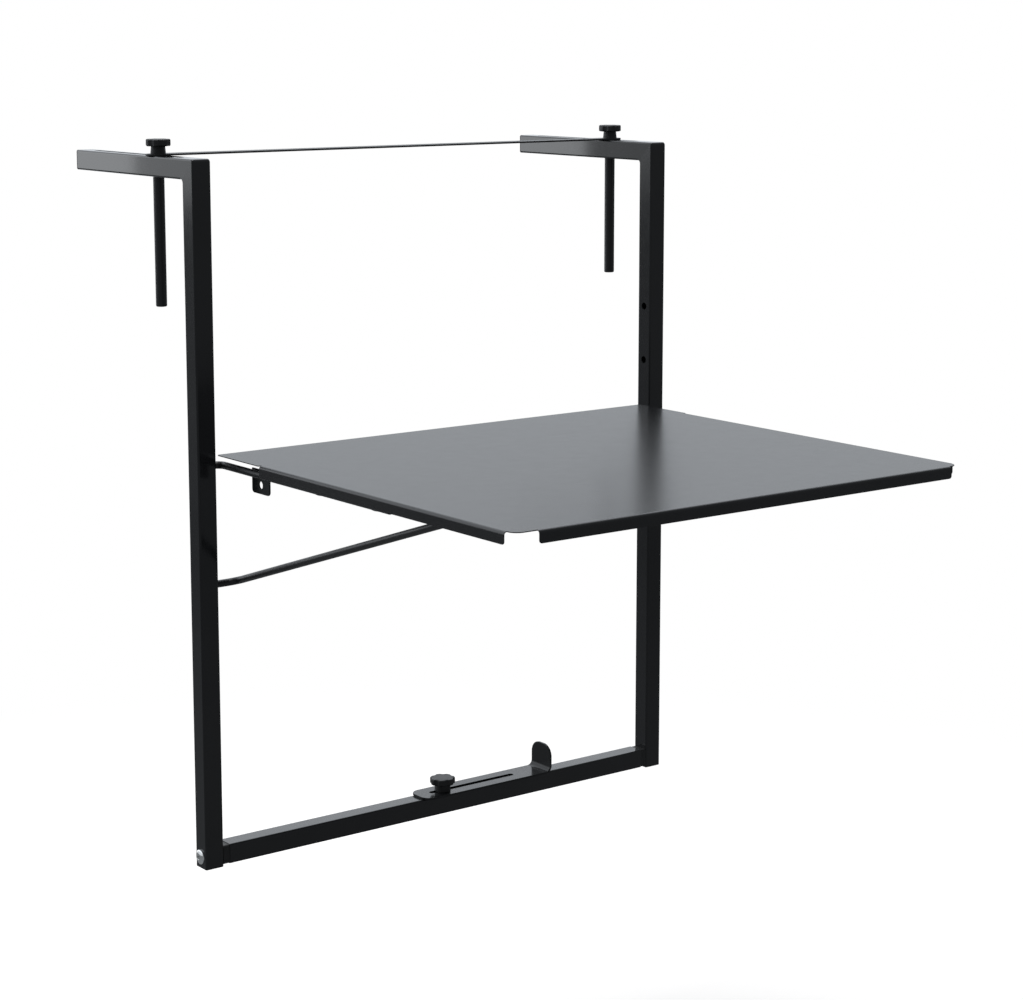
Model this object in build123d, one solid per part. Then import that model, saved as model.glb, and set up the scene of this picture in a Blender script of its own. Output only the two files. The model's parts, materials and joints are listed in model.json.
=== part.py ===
from build123d import *
import math
import os

# Folding balcony table that hangs on a railing.
# Millimetres. +X runs along the bottom bar, +Y points at the railing, -Y at the user, +Z is up.
# The origin is where the railing sits: midway between the two arms, at the height of the arms'
# undersides and in the plane of the uprights' rear faces.

# Square tube of the frame
TUBE = 22.0
TUBE_WALL = 1.5
TUBE_CORNER = 2.0
MITRE_OUTER = 3.5
MITRE_INNER = 4.0

# Frame
FRAME_WIDTH = 642.0
FRAME_HEIGHT = 764.0
ARM_REACH = 234.0
BAR_RAISE = 1.8

# Plastic caps, plugs and inserts in the tube ends
CAP_THICK = 2.0
CAP_ROUND = 0.8
PLUG_DEPTH = 12.0
PLUG_WALL = 1.6
PLUG_GAP = 0.1
INSERT_FLANGE = 8.0
INSERT_INSET = 0.5
INSERT_DEPTH = 22.0

# Fasteners
THREAD = 6.0
THREAD_GAP = 0.05
HOLE_GAP = 0.3
BOLT_HEAD = 16.0
BOLT_HEAD_HEIGHT = 3.5
BOLT_DOME = 2.0
HEX_SOCKET = 4.0
HEX_DEPTH = 2.2
NUT_ACROSS = 10.0
NUT_THICK = 5.0
STUD_HEAD = 10.0
STUD_HEAD_THICK = 1.5

# Row of cross holes in the inner walls of the uprights, counted upwards from the foot
HOLE_FIRST = 311.0
HOLE_PITCH = 64.5
HOLE_COUNT = 5
PROP_HOLE_INDEX = 0
TABLE_HOLE_INDEX = 2

# Round rods that plug into those holes
ROD = 8.0
ROD_GAP = 0.25
ROD_ROUND = 0.8
PIN_DEPTH = 13.0

# Table top, a thin sheet with flanges turned down on three sides
TOP_SIDE_GAP = 6.5
TOP_DEPTH = 520.0
TOP_SETBACK = 12.0
TOP_ABOVE_PIN = 11.0
SHEET = 1.0
FLANGE = 12.5
BEND = 3.5
FRONT_CORNER = 11.0
BACK_CORNER = 3.0
FLANGE_CORNER = 3.0
BARE_SIDE = 85.0
RELIEF = 1.5
SIDE_FLANGE_GAP = 0.5
FRONT_FLANGE_LEFT_GAP = 15.0
FRONT_FLANGE_RIGHT_GAP = 3.0

# Carrier rods along the side flanges, and the lugs on them
CARRIER_LENGTH = 319.0
CARRIER_BEND = 9.0
LUG_WIDTH = 34.0
LUG_THICK = 2.0
LUG_FORWARD = 74.0
LUG_RISE = 4.5
LUG_DROP = 21.5
LUG_CORNER = 4.0
LUG_HOLE = 8.0
LUG_HOLE_DROP = 12.0

# Prop rod and the saddles that hold its cross bar under the sheet
PROP_LENGTH = 420.0
PROP_INSET = 28.0
PROP_BEND = 14.0
PROP_CORNER = 20.0
SADDLE_PAD = 5.0
SADDLE_GAP = 0.2
SADDLE_WIDTH = 30.0
SADDLE_INSET = 91.0
SADDLE_TAIL = 9.0
LIP_DROP = 3.0
LIP_LEAD = 6.8
LIP_THICK = 6.0

# Railing clamp
PEG = 12.0
PEG_LENGTH = 139.0
PEG_ROUND = 1.5
PEG_BACK = 68.5
SLOT_WIDTH = 7.0
SLOT_FIRST = 20.0
SLOT_END_GAP = 29.0
STRAP_WIDTH = 20.0
STRAP_THICK = 2.0
STRAP_END = 14.0
STUD_IN_PEG = 15.0
BORE_SPARE = 0.5

# Star knobs
CLAMP_KNOB = 26.5
CLAMP_NECK = 16.5
BAR_KNOB = 29.0
BAR_NECK = 19.0
KNOB_HEIGHT = 15.5
KNOB_HEAD = 7.5
NECK_TAPER = 1.5
KNOB_LOBES = 7
SCALLOP_RADIUS = 5.0
SCALLOP_DEPTH = 1.7
LOBE_ROUND = 1.5
KNOB_ROUND = 1.5
STUD_IN_KNOB = 9.5

# Stabiliser plate on the bar
PLATE_THICK = 2.5
PLATE_WIDTH = 36.0
PLATE_LEFT = 35.0
PLATE_RIGHT = 146.5
PLATE_CORNER = 12.0
PLATE_SLOT = 7.0
PLATE_SLOT_LEFT = 18.0
PLATE_SLOT_RIGHT = 102.0
PLATE_BEND = 9.0
TAB_HEIGHT = 31.0
TAB_CORNER = 14.0

# Places worked out from the sizes above
FOOT_Z = TUBE - FRAME_HEIGHT
SLOT_LAST = ARM_REACH - SLOT_END_GAP
AXIS_X = (FRAME_WIDTH - TUBE) / 2
AXIS_Y = -TUBE / 2
INNER_X = FRAME_WIDTH / 2 - TUBE
TOP_WIDTH = 2 * (INNER_X - TOP_SIDE_GAP)
BAR_Z = FOOT_Z + BAR_RAISE + TUBE / 2
BAR_TOP = BAR_Z + TUBE / 2
BORE_IN_TUBE = TUBE - 2 * TUBE_WALL
PLUG_SIZE = BORE_IN_TUBE - 2 * PLUG_GAP
HINGE_Z = FOOT_Z + HOLE_FIRST + TABLE_HOLE_INDEX * HOLE_PITCH
PROP_Z = FOOT_Z + HOLE_FIRST + PROP_HOLE_INDEX * HOLE_PITCH
PIN_X = INNER_X + PIN_DEPTH
TOP_Z = HINGE_Z + TOP_ABOVE_PIN
UNDERSIDE_Z = TOP_Z - SHEET
BACK_Y = -TOP_SETBACK
FRONT_Y = BACK_Y - TOP_DEPTH
CARRIER_X = TOP_WIDTH / 2 - SHEET - ROD / 2
PROP_X = INNER_X - PROP_INSET
SADDLE_X = PROP_X - SADDLE_INSET
PROP_BAR_Z = UNDERSIDE_Z - SADDLE_PAD - SADDLE_GAP - ROD / 2
PROP_ANGLE = math.asin((PROP_BAR_Z - PROP_Z) / PROP_LENGTH)
PROP_BAR_Y = AXIS_Y - PROP_LENGTH * math.cos(PROP_ANGLE)
STRAP_TOP = TUBE + STRAP_THICK
PLATE_TOP = BAR_TOP + PLATE_THICK
THREAD_HOLE = THREAD / 2 + THREAD_GAP
CLEAR_HOLE = THREAD / 2 + HOLE_GAP
UP = Vector(0, 0, 1)
SIDES = {"left": -1, "right": 1}
STANDING = (Align.CENTER, Align.CENTER, Align.MIN)
HANGING = (Align.CENTER, Align.CENTER, Align.MAX)


def pick_vertex(face, point):
    """The vertex of a flat shape that lies nearest to a point."""
    return face.vertices().sort_by_distance(point)[0]


def rod_along(path):
    """A round rod swept along a path, with its two ends eased."""
    section = Plane(origin=path @ 0, z_dir=path % 0) * Circle(ROD / 2)
    rod = sweep(section, path=path)
    ends = rod.faces().filter_by(GeomType.PLANE)
    return fillet([edge for end in ends for edge in end.edges()], ROD_ROUND)


def bent_lip(middle, outward, turn, thickness, radius, reach, length, corner):
    """A strip bent off the edge of a sheet: a quarter bend and a flat with two rounded corners.

    middle lies on the bend line, on the sheet's outer surface. outward points off the sheet's
    edge, and turn is the way in which the strip is bent.
    """
    arc_outer = CenterArc((0, -radius), radius, 0, 90)
    arc_inner = CenterArc((0, -radius), radius - thickness, 0, 90)
    outline = [
        arc_outer,
        Line((radius, -radius), (radius, -reach)),
        Line((radius, -reach), (radius - thickness, -reach)),
        Line((radius - thickness, -reach), (radius - thickness, -radius)),
        arc_inner,
        Line((0, -thickness), (0, 0)),
    ]
    plane = Plane(origin=middle, x_dir=outward, z_dir=outward.cross(turn * -1))
    lip = extrude(plane * make_face(outline), amount=length / 2, both=True)
    far_point = Vector(*middle) + turn * reach
    tips = lip.edges().filter_by(Axis((0, 0, 0), outward)).group_by(Axis(far_point, turn))[-1]
    return fillet(tips, corner)


def tube_angle(inset, overrun):
    """The L of one upright and its arm, drawn in by inset from the tube's faces."""
    foot = FOOT_Z + CAP_THICK - overrun
    end = ARM_REACH - CAP_THICK + overrun
    outer = (-TUBE + inset, TUBE - inset)
    inner = (-inset, inset)
    points = [
        (-TUBE + inset, foot),
        outer,
        (end, TUBE - inset),
        (end, inset),
        inner,
        (-inset, foot),
    ]
    face = make_face(Polyline(*points, close=True))
    face = fillet(pick_vertex(face, (*outer, 0)), MITRE_OUTER - inset)
    face = fillet(pick_vertex(face, (*inner, 0)), MITRE_INNER + inset)
    solid = extrude(Plane.YZ * face, amount=TUBE / 2 - inset, both=True)
    sides = solid.faces().sort_by(Axis.X)
    long_edges = [
        edge
        for side in (sides[0], sides[-1])
        for edge in side.edges()
        if not math.isclose(edge.center().Z, foot) and not math.isclose(edge.center().Y, end)
    ]
    return fillet(long_edges, TUBE_CORNER - inset)


def left_frame_side():
    """Left upright and left arm: one hollow L, drilled and slotted, then cut at the mitre."""
    side = tube_angle(0, 0) - tube_angle(TUBE_WALL, TUBE)
    side = Pos(-AXIS_X, 0, 0) * side
    drill = Rot(0, 90, 0) * Cylinder(ROD / 2 + ROD_GAP, TUBE, align=STANDING)
    for index in range(HOLE_COUNT):
        side -= Pos(-AXIS_X, AXIS_Y, FOOT_Z + HOLE_FIRST + index * HOLE_PITCH) * drill
    side -= Pos(-AXIS_X, AXIS_Y, BAR_Z) * Rot(0, 90, 0) * Cylinder(CLEAR_HOLE, 2 * TUBE)
    slot = Rot(0, 0, 90) * SlotCenterToCenter(SLOT_LAST - SLOT_FIRST, SLOT_WIDTH)
    slot_middle = Pos(-AXIS_X, (SLOT_FIRST + SLOT_LAST) / 2, TUBE / 2)
    side -= slot_middle * extrude(slot, amount=TUBE, both=True)
    mitre = Plane(origin=(0, 0, 0), z_dir=(0, 1, 1))
    arm = split(side, bisect_by=mitre, keep=Keep.TOP)
    upright = split(side, bisect_by=mitre, keep=Keep.BOTTOM)
    return upright, arm


def tube_plug():
    """A cap with two fins, for a tube that ends at z = 0 and lies below it."""
    flange = extrude(RectangleRounded(TUBE, TUBE, TUBE_CORNER), amount=CAP_THICK)
    flange = fillet(flange.edges().group_by(Axis.Z)[-1], CAP_ROUND)
    fin = Box(PLUG_SIZE - TUBE_CORNER, PLUG_WALL, PLUG_DEPTH, align=HANGING)
    fin_y = (PLUG_SIZE - PLUG_WALL) / 2
    return flange + Pos(0, fin_y, 0) * fin + Pos(0, -fin_y, 0) * fin


def bottom_bar():
    """Square tube along X, with a hole in its top wall for the stabiliser's stud."""
    section = RectangleRounded(TUBE, TUBE, TUBE_CORNER)
    section -= RectangleRounded(BORE_IN_TUBE, BORE_IN_TUBE, TUBE_CORNER - TUBE_WALL)
    bar = extrude(Plane.YZ * section, amount=INNER_X - INSERT_FLANGE, both=True)
    bar = Pos(0, AXIS_Y, BAR_Z) * bar
    return bar - Pos(0, AXIS_Y, BAR_TOP) * Cylinder(THREAD_HOLE, TUBE)


def right_bar_insert():
    """Insert at the right end of the bar: a flange against the upright and a spigot with a nut's seat."""
    flange_size = TUBE - 2 * INSERT_INSET
    flange = extrude(RectangleRounded(flange_size, flange_size, TUBE_CORNER), amount=INSERT_FLANGE)
    spigot = extrude(RectangleRounded(PLUG_SIZE, PLUG_SIZE, TUBE_CORNER - TUBE_WALL), amount=-INSERT_DEPTH)
    insert = flange + spigot - Cylinder(CLEAR_HOLE, 4 * INSERT_DEPTH)
    seat = extrude(Rectangle(NUT_ACROSS + 2 * PLUG_GAP, NUT_ACROSS + 2 * PLUG_GAP), amount=NUT_THICK)
    insert -= Pos(0, 0, -INSERT_DEPTH) * seat
    return Pos(INNER_X - INSERT_FLANGE, AXIS_Y, BAR_Z) * Rot(0, 90, 0) * insert


def right_bar_nut():
    """Square nut in the seat of the right insert."""
    nut = extrude(Rectangle(NUT_ACROSS, NUT_ACROSS) - Circle(THREAD_HOLE), amount=NUT_THICK)
    place = Pos(INNER_X - INSERT_FLANGE - INSERT_DEPTH, AXIS_Y, BAR_Z)
    return place * Rot(0, 90, 0) * nut


def right_frame_bolt():
    """Domed bolt with a hex socket, from the upright's outer face into the nut."""
    head = Cylinder(BOLT_HEAD / 2, BOLT_HEAD_HEIGHT, align=STANDING)
    head = fillet(head.edges().group_by(Axis.Z)[-1], BOLT_DOME)
    socket = extrude(RegularPolygon(HEX_SOCKET / 2, 6, major_radius=False), amount=HEX_DEPTH)
    head -= Pos(0, 0, BOLT_HEAD_HEIGHT - HEX_DEPTH) * socket
    grip = TUBE + INSERT_FLANGE + INSERT_DEPTH
    shank = Cylinder(THREAD / 2, grip, align=HANGING)
    return Pos(FRAME_WIDTH / 2, AXIS_Y, BAR_Z) * Rot(0, 90, 0) * (head + shank)


def stabiliser_stud():
    """Stud pressed up through the bar's top wall, with its head inside the tube."""
    length = TUBE_WALL + PLATE_THICK + STUD_IN_KNOB
    shank = Cylinder(THREAD / 2, length, align=STANDING)
    head = Cylinder(STUD_HEAD / 2, STUD_HEAD_THICK, align=HANGING)
    return Pos(0, AXIS_Y, BAR_TOP - TUBE_WALL) * (shank + head)


def table_top():
    """Flat sheet with rounded corners, and flanges that stop short of the corners.

    The rear ends of the sides are bare: flat strips as wide as the flanges, behind a relief slit.
    """
    half = TOP_WIDTH / 2
    flat_half = half - BEND
    flat_front = FRONT_Y + BEND
    side_back = BACK_Y - BARE_SIDE
    strip_front = side_back + RELIEF
    right_outline = [
        (half, BACK_Y),
        (half, strip_front),
        (flat_half, strip_front),
        (flat_half, flat_front),
    ]
    left_outline = [(-x, y) for x, y in reversed(right_outline)]
    flat = make_face(Polyline(*right_outline, *left_outline, close=True))
    for sign in SIDES.values():
        flat = fillet(pick_vertex(flat, (sign * half, BACK_Y, 0)), BACK_CORNER)
        flat = fillet(pick_vertex(flat, (sign * flat_half, flat_front, 0)), FRONT_CORNER)
    sheet = Pos(0, 0, TOP_Z) * extrude(flat, amount=-SHEET)
    side_front = flat_front + FRONT_CORNER + SIDE_FLANGE_GAP
    side_middle = (side_back + side_front) / 2
    for sign in SIDES.values():
        sheet += bent_lip(
            (sign * flat_half, side_middle, TOP_Z),
            Vector(sign, 0, 0),
            -UP,
            SHEET,
            BEND,
            FLANGE,
            side_back - side_front,
            FLANGE_CORNER,
        )
    front_left = FRONT_CORNER + FRONT_FLANGE_LEFT_GAP - flat_half
    front_right = flat_half - FRONT_CORNER - FRONT_FLANGE_RIGHT_GAP
    sheet += bent_lip(
        ((front_left + front_right) / 2, flat_front, TOP_Z),
        Vector(0, -1, 0),
        -UP,
        SHEET,
        BEND,
        FLANGE,
        front_right - front_left,
        FLANGE_CORNER,
    )
    return sheet


def carrier_rod(sign):
    """Rod that pins one side of the table to its upright and runs along the inside of the flange."""
    points = [
        (sign * PIN_X, AXIS_Y, HINGE_Z),
        (sign * CARRIER_X, AXIS_Y, HINGE_Z),
        (sign * CARRIER_X, AXIS_Y - CARRIER_LENGTH, HINGE_Z),
    ]
    return rod_along(FilletPolyline(*points, radius=CARRIER_BEND))


def rear_lug(sign):
    """Plate that hangs from the inner side of a carrier rod, with one hole."""
    middle = AXIS_Y - LUG_FORWARD
    top = HINGE_Z + LUG_RISE
    bottom = HINGE_Z - LUG_DROP
    plate = Pos(middle, (top + bottom) / 2) * Rectangle(LUG_WIDTH, top - bottom)
    for side in (-1, 1):
        plate = fillet(pick_vertex(plate, (middle + side * LUG_WIDTH / 2, bottom, 0)), LUG_CORNER)
    plate -= Pos(middle, HINGE_Z - LUG_HOLE_DROP) * Circle(LUG_HOLE / 2)
    lug = extrude(Plane.YZ * plate, amount=LUG_THICK / 2, both=True)
    return Pos(sign * (CARRIER_X - ROD / 2 - LUG_THICK / 2), 0, 0) * lug


def prop_saddle(sign):
    """Pad under the sheet over the prop's cross bar, with a lip in front of the bar."""
    seat = PROP_BAR_Z + ROD / 2 + SADDLE_GAP
    tail = PROP_BAR_Y + SADDLE_TAIL
    lip = PROP_BAR_Y - LIP_LEAD
    outline = [
        (tail, UNDERSIDE_Z),
        (tail, seat),
        (lip, seat),
        (lip, seat - LIP_DROP),
        (lip - LIP_THICK, seat - LIP_DROP),
        (lip - LIP_THICK, UNDERSIDE_Z),
    ]
    profile = make_face(Polyline(*outline, close=True))
    return Pos(sign * SADDLE_X, 0, 0) * extrude(Plane.YZ * profile, amount=SADDLE_WIDTH / 2, both=True)


def prop_rod():
    """One bent rod: a pin in each upright, two rising legs and the cross bar between them."""
    rise = Vector(0, -math.cos(PROP_ANGLE), math.sin(PROP_ANGLE))
    across = Vector(1, 0, 0)
    plane = Plane(origin=(0, AXIS_Y, PROP_Z), x_dir=across, z_dir=across.cross(rise))
    flat_points = [
        (-PIN_X, 0),
        (-PROP_X, 0),
        (-PROP_X, PROP_LENGTH),
        (PROP_X, PROP_LENGTH),
        (PROP_X, 0),
        (PIN_X, 0),
    ]
    points = [plane.from_local_coords(Vector(x, y, 0)) for x, y in flat_points]
    radii = [PROP_BEND, PROP_CORNER, PROP_CORNER, PROP_BEND]
    return rod_along(FilletPolyline(*points, radius=radii))


def tie_strap():
    """Flat strap over both arms, with a hole for each peg's stud."""
    outline = SlotOverall(2 * (AXIS_X + STRAP_END), STRAP_WIDTH)
    for sign in SIDES.values():
        outline -= Pos(sign * AXIS_X, 0) * Circle(CLEAR_HOLE)
    return Pos(0, PEG_BACK, TUBE) * extrude(outline, amount=STRAP_THICK)


def peg(sign):
    """Round peg under an arm, tapped from above."""
    body = Cylinder(PEG / 2, PEG_LENGTH, align=HANGING)
    body = fillet(body.edges().group_by(Axis.Z)[0], PEG_ROUND)
    tapping = Cylinder(THREAD_HOLE, STUD_IN_PEG + BORE_SPARE, align=HANGING)
    return Pos(sign * AXIS_X, PEG_BACK, 0) * (body - tapping)


def peg_stud(sign):
    """Threaded stud from the peg up through the arm and the strap into the knob."""
    length = STUD_IN_PEG + STRAP_TOP + STUD_IN_KNOB
    stud = Cylinder(THREAD / 2, length, align=STANDING)
    return Pos(sign * AXIS_X, PEG_BACK, -STUD_IN_PEG) * stud


def star_knob(width, foot):
    """Star knob that stands on z = 0: a tapered neck, a scalloped head and a blind threaded bore."""
    outline = Circle(width / 2)
    for place in PolarLocations(width / 2 + SCALLOP_RADIUS - SCALLOP_DEPTH, KNOB_LOBES):
        outline -= place * Circle(SCALLOP_RADIUS)
    outline = fillet(outline.vertices(), LOBE_ROUND)
    neck_height = KNOB_HEIGHT - KNOB_HEAD
    head = Pos(0, 0, neck_height) * extrude(outline, amount=KNOB_HEAD)
    levels = head.edges().group_by(Axis.Z)
    head = fillet(levels[0] + levels[-1], KNOB_ROUND)
    neck = Cone(foot / 2, (foot - NECK_TAPER) / 2, neck_height, align=STANDING)
    bore = Cylinder(THREAD_HOLE, STUD_IN_KNOB + BORE_SPARE, align=STANDING)
    return head + neck - bore


def stabiliser_plate():
    """Slotted plate along the bar, with its right end bent up into a tab."""
    bend_x = PLATE_RIGHT - PLATE_BEND
    length = PLATE_LEFT + bend_x
    flat = Pos((bend_x - PLATE_LEFT) / 2, 0) * Rectangle(length, PLATE_WIDTH)
    for side in (-1, 1):
        flat = fillet(pick_vertex(flat, (-PLATE_LEFT, side * PLATE_WIDTH / 2, 0)), PLATE_CORNER)
    slot_middle = (PLATE_SLOT_RIGHT - PLATE_SLOT_LEFT) / 2
    flat -= Pos(slot_middle, 0) * SlotOverall(PLATE_SLOT_LEFT + PLATE_SLOT_RIGHT, PLATE_SLOT)
    plate = extrude(flat, amount=PLATE_THICK)
    plate += bent_lip(
        (bend_x, 0, 0),
        Vector(1, 0, 0),
        UP,
        PLATE_THICK,
        PLATE_BEND,
        PLATE_THICK + TAB_HEIGHT,
        PLATE_WIDTH,
        TAB_CORNER,
    )
    return Pos(0, AXIS_Y, BAR_TOP) * plate


left_upright, left_arm = left_frame_side()
arm_end = Pos(AXIS_X, ARM_REACH - CAP_THICK, TUBE / 2) * Rot(-90, 0, 0)
foot_end = Pos(AXIS_X, AXIS_Y, FOOT_Z + CAP_THICK) * Rot(180, 0, 0)

# Pieces that are made on one side and mirrored to the other
mirrored = {
    "upright": mirror(left_upright, about=Plane.YZ),
    "arm": mirror(left_arm, about=Plane.YZ),
    "arm_cap": arm_end * tube_plug(),
    "foot_plug": foot_end * tube_plug(),
    "bar_insert": right_bar_insert(),
    "bar_nut": right_bar_nut(),
    "frame_bolt": right_frame_bolt(),
}

pieces = {}
for name, right_piece in mirrored.items():
    pieces["right_" + name] = right_piece
    pieces["left_" + name] = mirror(right_piece, about=Plane.YZ)
for side, sign in SIDES.items():
    pieces[side + "_carrier_rod"] = carrier_rod(sign)
    pieces[side + "_rear_lug"] = rear_lug(sign)
    pieces[side + "_prop_saddle"] = prop_saddle(sign)
    pieces[side + "_peg"] = peg(sign)
    pieces[side + "_peg_stud"] = peg_stud(sign)
    knob_place = Pos(sign * AXIS_X, PEG_BACK, STRAP_TOP)
    pieces[side + "_clamp_knob"] = knob_place * star_knob(CLAMP_KNOB, CLAMP_NECK)
pieces["bottom_bar"] = bottom_bar()
pieces["stabiliser_stud"] = stabiliser_stud()
pieces["table_top"] = table_top()
pieces["prop_rod"] = prop_rod()
pieces["tie_strap"] = tie_strap()
pieces["stabiliser_plate"] = stabiliser_plate()
pieces["stabiliser_knob"] = Pos(0, AXIS_Y, PLATE_TOP) * star_knob(BAR_KNOB, BAR_NECK)

os.makedirs("parts", exist_ok=True)
for name, piece in pieces.items():
    export_step(piece, os.path.join("parts", name + ".step"))
print(len(pieces), "pieces, prop rises", round(math.degrees(PROP_ANGLE), 2), "degrees")
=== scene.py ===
# %% [markdown]
# A folding balcony table, dressed for the camera. Nearly everything on it is black steel, so its
# look is made by reflections: a satin sheet on top, glossier tubes around it, and matte plastic
# where a hand or a railing touches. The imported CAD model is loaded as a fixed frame, and every
# piece made here is placed from that frame's own boxes, in metres.

# %% Load the frame
import json
import math

import bmesh
import bpy
from mathutils import Matrix, Vector

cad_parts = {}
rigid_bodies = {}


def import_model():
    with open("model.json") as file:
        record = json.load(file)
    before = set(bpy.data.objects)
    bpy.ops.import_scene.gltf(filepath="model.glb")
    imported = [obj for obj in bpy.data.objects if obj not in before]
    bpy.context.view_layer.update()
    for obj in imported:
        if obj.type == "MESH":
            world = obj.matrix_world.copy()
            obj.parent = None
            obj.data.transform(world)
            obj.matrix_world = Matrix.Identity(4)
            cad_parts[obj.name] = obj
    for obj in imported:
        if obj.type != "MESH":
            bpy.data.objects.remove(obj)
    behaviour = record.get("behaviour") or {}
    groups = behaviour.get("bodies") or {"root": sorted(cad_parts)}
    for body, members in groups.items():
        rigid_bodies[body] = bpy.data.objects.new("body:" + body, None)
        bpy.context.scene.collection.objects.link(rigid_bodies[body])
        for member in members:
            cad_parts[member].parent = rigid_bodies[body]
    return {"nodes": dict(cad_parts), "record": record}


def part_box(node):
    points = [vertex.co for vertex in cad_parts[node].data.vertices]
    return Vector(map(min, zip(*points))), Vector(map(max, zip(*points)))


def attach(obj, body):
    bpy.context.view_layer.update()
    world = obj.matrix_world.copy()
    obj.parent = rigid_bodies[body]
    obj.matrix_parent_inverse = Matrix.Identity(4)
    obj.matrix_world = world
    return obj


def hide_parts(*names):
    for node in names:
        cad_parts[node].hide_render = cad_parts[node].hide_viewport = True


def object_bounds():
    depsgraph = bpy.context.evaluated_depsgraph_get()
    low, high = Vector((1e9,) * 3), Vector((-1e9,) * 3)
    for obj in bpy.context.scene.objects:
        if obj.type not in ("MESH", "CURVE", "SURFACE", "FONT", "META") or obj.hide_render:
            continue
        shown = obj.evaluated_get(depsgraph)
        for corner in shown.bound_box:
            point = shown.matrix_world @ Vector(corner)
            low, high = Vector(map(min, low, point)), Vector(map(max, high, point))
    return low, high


for leftover in list(bpy.data.objects):
    bpy.data.objects.remove(leftover)
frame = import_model()
nodes = frame["nodes"]
scene = bpy.context.scene
cad_low, cad_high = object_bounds()
MM = 0.001
WHITE = (1, 1, 1)
print("nodes", len(nodes), "box", [round(size, 3) for size in cad_high - cad_low])

# %% [markdown]
# A procedural material is a small network of nodes. The first helper adds a node and sets its
# sockets, and the second starts a material. Object coordinates are used all through, because they
# stay with the piece when it moves.


# %% Helpers that start a network
def add_node(tree, kind, **sockets):
    node = tree.nodes.new(kind)
    for name, value in sockets.items():
        node.inputs[name.replace("_", " ")].default_value = value
    return node


def start_material(name):
    """A plain material: its tree, its shader and the piece's own coordinates."""
    material = bpy.data.materials.new(name)
    material.use_nodes = True
    tree = material.node_tree
    shader = tree.nodes["Principled BSDF"]
    coordinates = tree.nodes.new("ShaderNodeTexCoord").outputs["Object"]
    return material, tree, shader, coordinates


# %% [markdown]
# Four more helpers make the patterns. A noise lies mostly between 0.3 and 0.7, so it is stretched
# to the range that a socket needs. It then blends two colours, sets the roughness, or raises and
# lowers the surface as a bump.


# %% Helpers for patterns
def noise(tree, coordinates, grain, detail=2.0):
    """A noise pattern whose blobs are about grain metres across."""
    pattern = add_node(tree, "ShaderNodeTexNoise", Scale=1 / grain, Detail=detail)
    tree.links.new(coordinates, pattern.inputs["Vector"])
    return pattern.outputs["Fac"]


def stretch(tree, value, low, high):
    """Maps the middle of a noise pattern, where nearly all of it lies, to low..high."""
    ramp = add_node(tree, "ShaderNodeMapRange", From_Min=0.3, From_Max=0.7, To_Min=low, To_Max=high)
    tree.links.new(value, ramp.inputs["Value"])
    return ramp.outputs["Result"]


def blend_colours(tree, value, dark, light):
    mix = tree.nodes.new("ShaderNodeMix")
    mix.data_type = "RGBA"
    mix.inputs["A"].default_value = (*dark, 1)
    mix.inputs["B"].default_value = (*light, 1)
    tree.links.new(stretch(tree, value, 0, 1), mix.inputs["Factor"])
    return mix.outputs["Result"]


def add_bump(tree, shader, height, depth):
    bump = add_node(tree, "ShaderNodeBump", Strength=1.0, Distance=depth)
    tree.links.new(height, bump.inputs["Height"])
    tree.links.new(bump.outputs["Normal"], shader.inputs["Normal"])


# %% [markdown]
# Powder coat is sprayed on as dust and melted in an oven. It flows almost flat, and what is left
# is orange peel: waves a millimetre or two long and a few thousandths high. One function makes all
# the coats. The arms reflect most sharply, the other tubes a little less, and the sheet, the rods
# and the pegs are satin. The thin plate of the stabiliser is wavy itself, so its waves are long.

# %% Powder coat
COAT_DARK, COAT_LIGHT = (0.0100, 0.0105, 0.0114), (0.0132, 0.0138, 0.0148)
COAT_MOTTLE = 45 * MM
COAT_CLOUD = 12 * MM
ORANGE_PEEL = 1.6 * MM
PLATE_WAVE = 28 * MM


def powder_coat(name, rough_low, rough_high, peel_depth, peel=ORANGE_PEEL, specular=0.5):
    material, tree, shader, where = start_material(name)
    colour = blend_colours(tree, noise(tree, where, COAT_MOTTLE), COAT_DARK, COAT_LIGHT)
    cloud = noise(tree, where, COAT_CLOUD, detail=4.0)
    tree.links.new(colour, shader.inputs["Base Color"])
    tree.links.new(stretch(tree, cloud, rough_low, rough_high), shader.inputs["Roughness"])
    add_bump(tree, shader, noise(tree, where, peel), peel_depth)
    shader.inputs["Specular IOR Level"].default_value = specular
    print("coat", name, "roughness", rough_low, "to", rough_high)
    return material


arm_coat = powder_coat("arm_coat", 0.045, 0.058, 0.0015 * MM)
tube_coat = powder_coat("tube_coat", 0.13, 0.16, 0.0015 * MM)
sheet_coat = powder_coat("sheet_coat", 0.255, 0.272, 0.0004 * MM)
plate_coat = powder_coat("plate_coat", 0.15, 0.20, 0.25 * MM, peel=PLATE_WAVE, specular=0.33)
rod_coat = powder_coat("rod_coat", 0.36, 0.42, 0.005 * MM)

# %% [markdown]
# The knobs, caps and plugs are moulded in black plastic. The mould's spark-eroded surface leaves
# an even fine grain, so the plastic is rougher than the paint and has no clear reflections.

# %% Moulded plastic
PLASTIC_DARK, PLASTIC_LIGHT = (0.0090, 0.0092, 0.0097), (0.0125, 0.0128, 0.0134)
PLASTIC_FLOW = 8 * MM
MOULD_GRAIN = 0.35 * MM
MOULD_DEPTH = 0.02 * MM


def moulded_plastic(name):
    material, tree, shader, where = start_material(name)
    flow = noise(tree, where, PLASTIC_FLOW)
    grain = noise(tree, where, MOULD_GRAIN, detail=3.0)
    colour = blend_colours(tree, flow, PLASTIC_DARK, PLASTIC_LIGHT)
    tree.links.new(colour, shader.inputs["Base Color"])
    tree.links.new(stretch(tree, flow, 0.46, 0.56), shader.inputs["Roughness"])
    add_bump(tree, shader, grain, MOULD_DEPTH)
    return material


black_plastic = moulded_plastic("black_plastic")
print("plastic", black_plastic.name)

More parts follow.
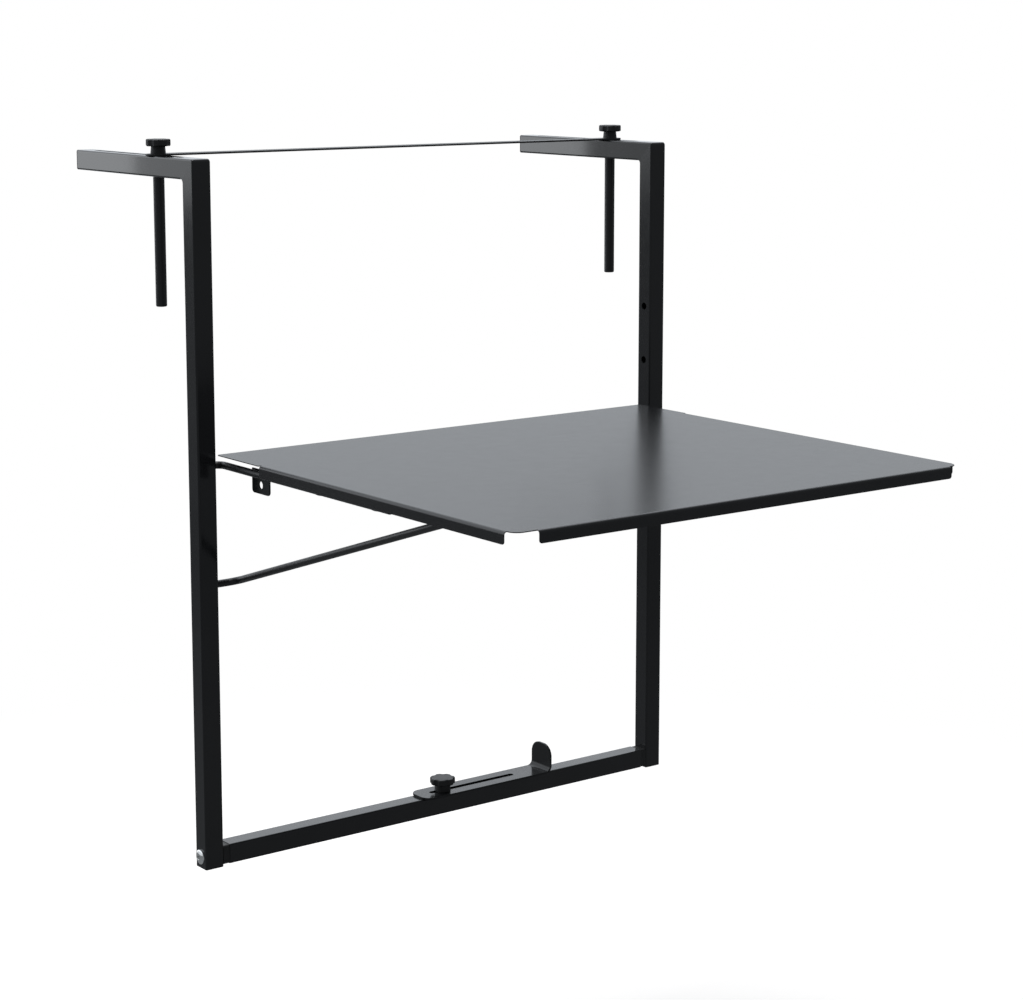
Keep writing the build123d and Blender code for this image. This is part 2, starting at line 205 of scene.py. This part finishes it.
# %% [markdown]
# The bolts are zinc plated: a bright, slightly cloudy metal with fine marks from the plating
# drum. The base colour of a metal is the colour of its reflections.

# %% Zinc plating
ZINC_DARK, ZINC_LIGHT = (0.74, 0.75, 0.75), (0.90, 0.90, 0.88)
ZINC_CLOUD = 3 * MM
DRUM_MARKS = 0.5 * MM
MARK_DEPTH = 0.008 * MM


def zinc_plating(name):
    material, tree, shader, where = start_material(name)
    cloud = noise(tree, where, ZINC_CLOUD, detail=4.0)
    marks = noise(tree, where, DRUM_MARKS, detail=5.0)
    tree.links.new(blend_colours(tree, cloud, ZINC_DARK, ZINC_LIGHT), shader.inputs["Base Color"])
    tree.links.new(stretch(tree, marks, 0.10, 0.20), shader.inputs["Roughness"])
    shader.inputs["Metallic"].default_value = 1.0
    add_bump(tree, shader, marks, MARK_DEPTH)
    return material


zinc = zinc_plating("zinc_plate")
print("plating", zinc.name)

# %% [markdown]
# Each CAD node keeps its shape and gets the finish of its slot in the record, apart from the
# arms, the rods and the pegs, which have a coat of their own. The nodes are imported with one
# material each, so the new finish goes into their first material slot.

# %% Dress the CAD nodes
FINISHES = {"powder_coat": tube_coat, "black_plastic": black_plastic, "zinc_plate": zinc}
OWN_FINISH = {"left_arm": arm_coat, "right_arm": arm_coat}
for node in ("left_carrier_rod", "right_carrier_rod", "prop_rod", "left_peg", "right_peg"):
    OWN_FINISH[node] = rod_coat
for subpart in frame["record"]["subparts"]:
    node = subpart["node"]
    nodes[node].data.materials[0] = OWN_FINISH.get(node, FINISHES[subpart["material_slot"]])

# %% [markdown]
# Some pieces are made here. They are built as a bmesh, which is a mesh that can be edited, and one
# function turns each into an object that rides on a body of the frame, so that it moves with it.
# Smooth faces next to flat ones would look dented, and a Weighted Normal modifier keeps the flats
# flat.


# %% Turn a bmesh into a piece
def finish_piece(shape, name, body, finish, replaced=None):
    for face in shape.faces:
        face.smooth = True
    mesh = bpy.data.meshes.new(name)
    shape.to_mesh(mesh)
    shape.free()
    mesh.materials.append(finish)
    piece = bpy.data.objects.new(name, mesh)
    scene.collection.objects.link(piece)
    weighted = piece.modifiers.new("flat_faces", "WEIGHTED_NORMAL")
    weighted.keep_sharp = True
    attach(piece, body)
    if replaced:
        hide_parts(replaced)
    print(name, len(mesh.polygons), "faces")


# %% [markdown]
# Cut sheet metal has sharp edges in CAD. On the real table the coat runs round every edge and
# leaves a small radius that catches the light as a thin line. The flat pieces are therefore made
# again from copies of their nodes: the loose triangles are merged, flat regions become single
# faces, and a bevel rounds each sharp edge.

# %% Round the edges of the flat pieces
SHARP = math.radians(40)
FLAT = math.radians(0.3)
SAME_PLACE = 0.001 * MM


def rounded_copy(node, body, finish, radius):
    """A copy of a CAD node with every sharp edge rounded, standing for that node."""
    shape = bmesh.new()
    shape.from_mesh(nodes[node].data)
    bmesh.ops.remove_doubles(shape, verts=shape.verts, dist=SAME_PLACE)
    bmesh.ops.dissolve_limit(shape, angle_limit=FLAT, verts=shape.verts, edges=shape.edges)
    sharp = [edge for edge in shape.edges if edge.is_manifold and edge.calc_face_angle() > SHARP]
    bmesh.ops.bevel(
        shape,
        geom=sharp,
        offset=radius,
        offset_type="OFFSET",
        segments=3,
        profile=0.5,
        affect="EDGES",
        clamp_overlap=True,
        material=-1,
    )
    finish_piece(shape, node + "_coated", body, finish, node)


rounded_copy("table_top", "table", sheet_coat, 0.3 * MM)
rounded_copy("tie_strap", "railing_clamp", rod_coat, 0.2 * MM)
rounded_copy("stabiliser_plate", "stabiliser", plate_coat, 0.5 * MM)
for side in ("left", "right"):
    rounded_copy(side + "_rear_lug", "table", tube_coat, 0.4 * MM)
    rounded_copy(side + "_prop_saddle", "table", black_plastic, 0.6 * MM)

# %% [markdown]
# The two bolts at the feet are the only bright spots, so they get a proper domed head. Each is
# turned as on a lathe, from rings of points around its axis. Most rings are circles, and those of
# the socket follow a hexagon, whose reach from the axis changes with the angle.

# %% Rings for the bolts
BOLT_SEGMENTS = 48
SIXTH = math.pi / 3


def ring(shape, x, centre, radius, hexagonal=False):
    """One ring of points around an axis along X."""
    points = []
    for step in range(BOLT_SEGMENTS):
        angle = 2 * math.pi * step / BOLT_SEGMENTS
        reach = radius / math.cos(angle % SIXTH - SIXTH / 2) if hexagonal else radius
        offset = Vector((0, reach * math.cos(angle), reach * math.sin(angle)))
        points.append(shape.verts.new(Vector((x, centre.y, centre.z)) + offset))
    return points


def join_rings(shape, rings):
    """Skins a row of rings and closes both ends."""
    for first, second in zip(rings, rings[1:]):
        for step in range(BOLT_SEGMENTS):
            after = (step + 1) % BOLT_SEGMENTS
            shape.faces.new((first[step], first[after], second[after], second[step]))
    for end in (rings[0], rings[-1]):
        shape.faces.new(end)
    bmesh.ops.recalc_face_normals(shape, faces=shape.faces)


# %% [markdown]
# The rings go from the end of the shank to the head, over its dome and down into the socket. The
# dome is part of a sphere. Its radius follows from the width and the height of the dome. Edges
# that turn by more than the crease angle stay sharp.

# %% Domed bolts
HEAD_HEIGHT = 3.5 * MM
HEAD_RIM = 1.2 * MM
SHANK_RADIUS = 3.0 * MM
SOCKET_APOTHEM = 2.0 * MM
SOCKET_LIP = 1.3 * SOCKET_APOTHEM
SOCKET_EDGE = 0.25 * MM
SOCKET_FLOOR = 2.2 * MM
DOME_STEPS = 9
CREASE = math.radians(25)


def domed_bolt(side, sign):
    low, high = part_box(side + "_frame_bolt")
    centre = (low + high) / 2
    crown, tip = (low.x, high.x) if sign < 0 else (high.x, low.x)
    head_radius = (high.y - low.y) / 2
    dome_height = HEAD_HEIGHT - HEAD_RIM
    dome = (head_radius**2 + dome_height**2) / (2 * dome_height)
    under_head = crown - sign * HEAD_HEIGHT
    shape = bmesh.new()
    rings = [
        ring(shape, tip, centre, SHANK_RADIUS),
        ring(shape, under_head, centre, SHANK_RADIUS),
        ring(shape, under_head, centre, head_radius),
    ]
    for step in range(DOME_STEPS + 1):
        radius = head_radius + (SOCKET_LIP - head_radius) * step / DOME_STEPS
        depth = math.sqrt(dome**2 - SOCKET_LIP**2) - math.sqrt(dome**2 - radius**2)
        rings.append(ring(shape, crown - sign * depth, centre, radius))
    for depth in (SOCKET_EDGE, SOCKET_FLOOR):
        rings.append(ring(shape, crown - sign * depth, centre, SOCKET_APOTHEM, hexagonal=True))
    join_rings(shape, rings)
    for edge in shape.edges:
        edge.smooth = edge.calc_face_angle() < CREASE
    name = side + "_frame_bolt"
    finish_piece(shape, name + "_plated", "frame", zinc, name)


domed_bolt("left", -1)
domed_bolt("right", 1)

# %% [markdown]
# The carrier rods are welded to the side flanges and the lugs to the rods, under the top where
# only someone who folds the table sees it. A weld bead is a row of small ripples, one for each
# step of the welder's hand. Each bead starts as a sphere that is drawn out along the seam, and
# its rings are then swelled and pinched in turn.

# %% Weld bead
BEAD_RINGS = 48
BEAD_SIDES = 16
RIPPLE_PITCH = 1.7 * MM
RIPPLE_DEPTH = 0.09
ALONG_Y = Matrix.Rotation(math.pi / 2, 3, "X")


def add_bead(shape, middle, length, radius):
    """Adds one weld bead along Y to a bmesh."""
    made = bmesh.ops.create_uvsphere(
        shape, u_segments=BEAD_SIDES, v_segments=BEAD_RINGS, radius=1.0
    )
    verts = made["verts"]
    bmesh.ops.rotate(shape, verts=verts, cent=(0, 0, 0), matrix=ALONG_Y)
    bmesh.ops.scale(shape, verts=verts, vec=(radius, length / 2, radius))
    for vertex in verts:
        swell = 1 + RIPPLE_DEPTH * math.cos(2 * math.pi * vertex.co.y / RIPPLE_PITCH)
        vertex.co.x *= swell
        vertex.co.z *= swell
    bmesh.ops.translate(shape, verts=verts, vec=middle)


# %% [markdown]
# Three beads join each rod to its flange, and a longer one joins the lug to the rod. They lie in
# the grooves between the rod and its neighbours, a little below the rod's axis, and their places
# come from the boxes of the rod and the lug.

# %% Weld beads under the top
FLANGE_SHARES = (0.32, 0.62, 0.93)
FLANGE_LENGTH, FLANGE_RADIUS, FLANGE_INSET, FLANGE_SINK = 16 * MM, 1.3 * MM, 0.9 * MM, 2.1 * MM
LUG_LENGTH, LUG_RADIUS, LUG_OUTSET, LUG_SINK = 26 * MM, 1.4 * MM, 1.0 * MM, 3.3 * MM

for side, sign in (("left", -1), ("right", 1)):
    rod_low, rod_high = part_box(side + "_carrier_rod")
    lug_low, lug_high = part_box(side + "_rear_lug")
    rod_width = rod_high.z - rod_low.z
    rod_z = (rod_high.z + rod_low.z) / 2
    lug_y = (lug_low.y + lug_high.y) / 2
    lug_x = lug_low.x if sign < 0 else lug_high.x
    flange_x = lug_x + sign * rod_width
    beads = bmesh.new()
    for share in FLANGE_SHARES:
        along = rod_high.y + share * (rod_low.y - rod_high.y)
        middle = (flange_x - sign * FLANGE_INSET, along, rod_z - FLANGE_SINK)
        add_bead(beads, middle, FLANGE_LENGTH, FLANGE_RADIUS)
    add_bead(beads, (lug_x + sign * LUG_OUTSET, lug_y, rod_z - LUG_SINK), LUG_LENGTH, LUG_RADIUS)
    finish_piece(beads, side + "_weld_beads", "table", rod_coat)

# %% [markdown]
# The table hangs on a railing about a metre above the balcony floor, so the floor lies that far
# below the arms. It is a flat disc, centred under the table.

# %% Floor
FLOOR_DROP = 1.05
FLOOR_RADIUS = 4.0
FLOOR_SIDES = 96

disc = bmesh.new()
bmesh.ops.create_circle(disc, cap_ends=True, segments=FLOOR_SIDES, radius=FLOOR_RADIUS)
bmesh.ops.translate(disc, verts=disc.verts, vec=(0, (cad_low.y + cad_high.y) / 2, -FLOOR_DROP))
floor_mesh = bpy.data.meshes.new("floor")
disc.to_mesh(floor_mesh)
disc.free()
floor = bpy.data.objects.new("floor", floor_mesh)
scene.collection.objects.link(floor)
print("floor", FLOOR_DROP, "m below the railing seat")

# %% [markdown]
# The camera sees the floor as white with the shadow of the table on it, and further out as plain
# white, so that it runs into the background without an edge. All other rays, such as those that
# the tubes reflect, see a dim grey floor.

# %% Floor paint
SHADOW_INNER = 0.9
SHADOW_OUTER = 1.7
FLOOR_LIFT = 0.55
PALE = (0.79, 0.763, 0.737)
DIM = (0.30, 0.305, 0.31)

floor_paint = bpy.data.materials.new("floor_paint")
floor_paint.use_nodes = True
tree = floor_paint.node_tree
tree.nodes.clear()
pale = add_node(tree, "ShaderNodeBsdfDiffuse", Color=(*PALE, 1))
dim = add_node(tree, "ShaderNodeBsdfDiffuse", Color=(*DIM, 1))
lift = add_node(tree, "ShaderNodeEmission", Color=(*WHITE, 1), Strength=FLOOR_LIFT)
white = add_node(tree, "ShaderNodeEmission", Color=(*WHITE, 1), Strength=1.0)
shadowed = tree.nodes.new("ShaderNodeAddShader")
tree.links.new(pale.outputs["BSDF"], shadowed.inputs[0])
tree.links.new(lift.outputs["Emission"], shadowed.inputs[1])
flat_place = tree.nodes.new("ShaderNodeVectorMath")
flat_place.operation = "MULTIPLY"
flat_place.inputs[1].default_value = (1, 1, 0)
tree.links.new(tree.nodes.new("ShaderNodeTexCoord").outputs["Object"], flat_place.inputs[0])
reach = tree.nodes.new("ShaderNodeVectorMath")
reach.operation = "LENGTH"
tree.links.new(flat_place.outputs["Vector"], reach.inputs[0])
fade = add_node(tree, "ShaderNodeMapRange", From_Min=SHADOW_INNER, From_Max=SHADOW_OUTER)
fade.interpolation_type = "SMOOTHSTEP"
tree.links.new(reach.outputs["Value"], fade.inputs["Value"])
seen = tree.nodes.new("ShaderNodeMixShader")
tree.links.new(fade.outputs["Result"], seen.inputs["Fac"])
tree.links.new(shadowed.outputs["Shader"], seen.inputs[1])
tree.links.new(white.outputs["Emission"], seen.inputs[2])
rays = tree.nodes.new("ShaderNodeLightPath")
choose = tree.nodes.new("ShaderNodeMixShader")
tree.links.new(rays.outputs["Is Camera Ray"], choose.inputs["Fac"])
tree.links.new(dim.outputs["BSDF"], choose.inputs[1])
tree.links.new(seen.outputs["Shader"], choose.inputs[2])
output = tree.nodes.new("ShaderNodeOutputMaterial")
tree.links.new(choose.outputs["Shader"], output.inputs["Surface"])
floor_mesh.materials.append(floor_paint)
print("floor paint", len(tree.nodes), "nodes")

# %% [markdown]
# Black gloss shows the room more than itself, so the room matters. The world's nodes read the
# direction of each ray and give a brightness. Two helpers build that up: a soft step along one
# axis of the direction, and a node that adds, multiplies or takes the larger of two values.

# %% Helpers for the room
world = bpy.data.worlds.new("studio")
scene.world = world
world.use_nodes = True
tree = world.node_tree
tree.nodes.clear()
where = tree.nodes.new("ShaderNodeTexCoord").outputs["Generated"]
direction = tree.nodes.new("ShaderNodeSeparateXYZ")
tree.links.new(where, direction.inputs["Vector"])
rays = tree.nodes.new("ShaderNodeLightPath")


def ramp(axis, start, end, low, high):
    """A soft step along one axis of the ray's direction."""
    step = add_node(
        tree, "ShaderNodeMapRange", From_Min=start, From_Max=end, To_Min=low, To_Max=high
    )
    step.interpolation_type = "SMOOTHSTEP"
    tree.links.new(direction.outputs[axis], step.inputs["Value"])
    return step.outputs["Result"]


def combine(operation, first, second):
    node = tree.nodes.new("ShaderNodeMath")
    node.operation = operation
    for socket, value in zip(node.inputs, (first, second)):
        if isinstance(value, float):
            socket.default_value = value
        else:
            tree.links.new(value, socket)
    return node.outputs["Value"]


# %% [markdown]
# The room is a studio: a dim floor below the horizon, a white backdrop behind the table with a
# slight dip above the horizon and more light higher up, and little light behind the camera. Mirror
# rays see the backdrop at full strength, matte surfaces get a part of it, and rays from the camera
# itself see plain white.

# %% The room
BEHIND_CAMERA = 0.20
MATTE_SHARE = 0.6
ROOM_TINT = (0.90, 0.945, 1.0)
HORIZON = (-0.03, 0.035, 0.22, 0.90)
DIP = (0.05, 0.12, 0.0, -0.10)
UPPER_LIGHT = (0.20, 0.34, 0.0, 0.60)
BEHIND_TABLE = (-0.25, 0.35, 0.0, 1.0)

mirrored = combine("MAXIMUM", rays.outputs["Is Glossy Ray"], rays.outputs["Is Transmission Ray"])
share = combine("MAXIMUM", mirrored, MATTE_SHARE)
backdrop = combine("ADD", ramp("Z", *HORIZON), ramp("Z", *DIP))
backdrop = combine("ADD", backdrop, ramp("Z", *UPPER_LIGHT))
backdrop = combine("MULTIPLY", backdrop, ramp("Y", *BEHIND_TABLE))
backdrop = combine("MULTIPLY", backdrop, share)
room = add_node(tree, "ShaderNodeBackground", Color=(*ROOM_TINT, 1))
tree.links.new(combine("MAXIMUM", backdrop, BEHIND_CAMERA), room.inputs["Strength"])
paper = add_node(tree, "ShaderNodeBackground", Color=(*WHITE, 1), Strength=1.0)
choose = tree.nodes.new("ShaderNodeMixShader")
tree.links.new(rays.outputs["Is Camera Ray"], choose.inputs["Fac"])
tree.links.new(room.outputs["Background"], choose.inputs[1])
tree.links.new(paper.outputs["Background"], choose.inputs[2])
output = tree.nodes.new("ShaderNodeOutputWorld")
tree.links.new(choose.outputs["Shader"], output.inputs["Surface"])
print("room", len(tree.nodes), "nodes")

# %% [markdown]
# Soft boxes finish the light. Each is a glowing rectangle, and its brightness is what a mirror in
# front of it would show. A grid narrows the beam, and the lamp's power is lowered by the same
# amount, so that the brightness along the axis stays as it was.


# %% Soft box
def soft_box(name, place, aim, size, brightness, tint, grid=180):
    half_angle = math.radians(grid) / 2
    width, height = size
    lamp = bpy.data.lights.new(name, "AREA")
    lamp.shape = "RECTANGLE"
    lamp.size = width
    lamp.size_y = height
    lamp.spread = 2 * half_angle
    narrowing = 1 - half_angle / math.tan(half_angle)
    lamp.energy = brightness * math.pi * width * height * narrowing
    lamp.color = tint
    box = bpy.data.objects.new(name, lamp)
    box.location = place
    box.rotation_euler = (Vector(aim) - Vector(place)).to_track_quat("-Z", "Y").to_euler()
    box.visible_camera = False
    scene.collection.objects.link(box)
    print(name, round(lamp.energy, 1), "W")


# %% [markdown]
# A large box overhead lights the floor and makes the shadow, and draws soft lines along the rods
# and the bends. A low one on the railing side shows the form from behind. Two boxes with grids
# stand side by side at the left, where the sides of the arms mirror them. The edge between the
# bright one and the dim one is the step in the light that runs across both arms.

# %% Soft boxes
COOL = (0.94, 0.97, 1.0)
soft_box(
    "overhead_box",
    place=(-0.3, -0.1, 2.0),
    aim=(0.0, -0.2, -0.3),
    size=(1.6, 1.2),
    brightness=5.0,
    tint=WHITE,
)
soft_box(
    "railing_box",
    place=(0.6, 2.4, -0.65),
    aim=(0.6, 0.0, -0.5),
    size=(3.2, 0.6),
    brightness=1.8,
    tint=COOL,
)
soft_box(
    "left_box",
    place=(-1.320, 2.665, 0.51),
    aim=(-0.723, 1.865, 0.51),
    size=(0.7, 1.45),
    brightness=3.4,
    tint=COOL,
    grid=50,
)
soft_box(
    "far_left_box",
    place=(-1.950, 2.262, 0.51),
    aim=(-1.465, 1.387, 0.51),
    size=(0.8, 1.45),
    brightness=1.18,
    tint=COOL,
    grid=53,
)

# %% [markdown]
# The photograph was taken with a long lens from the left of the table and a little above its
# arms. The camera stands at that place and looks down at the middle of the table, with a small
# lens shift in place of part of the tilt, so that the uprights stay close to upright.

# %% Camera
EYE = Vector((-1.5977, -2.2495, 0.1565))
HEADING = -37.18
TILT = 9.02
lens = bpy.data.cameras.new("camera")
lens.lens = 86.68
lens.sensor_width = 36.0
lens.shift_y = -0.08
camera = bpy.data.objects.new("camera", lens)
camera.location = EYE
camera.rotation_euler = (math.radians(90 - TILT), 0, math.radians(HEADING))
scene.collection.objects.link(camera)
scene.camera = camera
scene.view_settings.view_transform = "Standard"
print("camera at", [round(place, 3) for place in EYE])
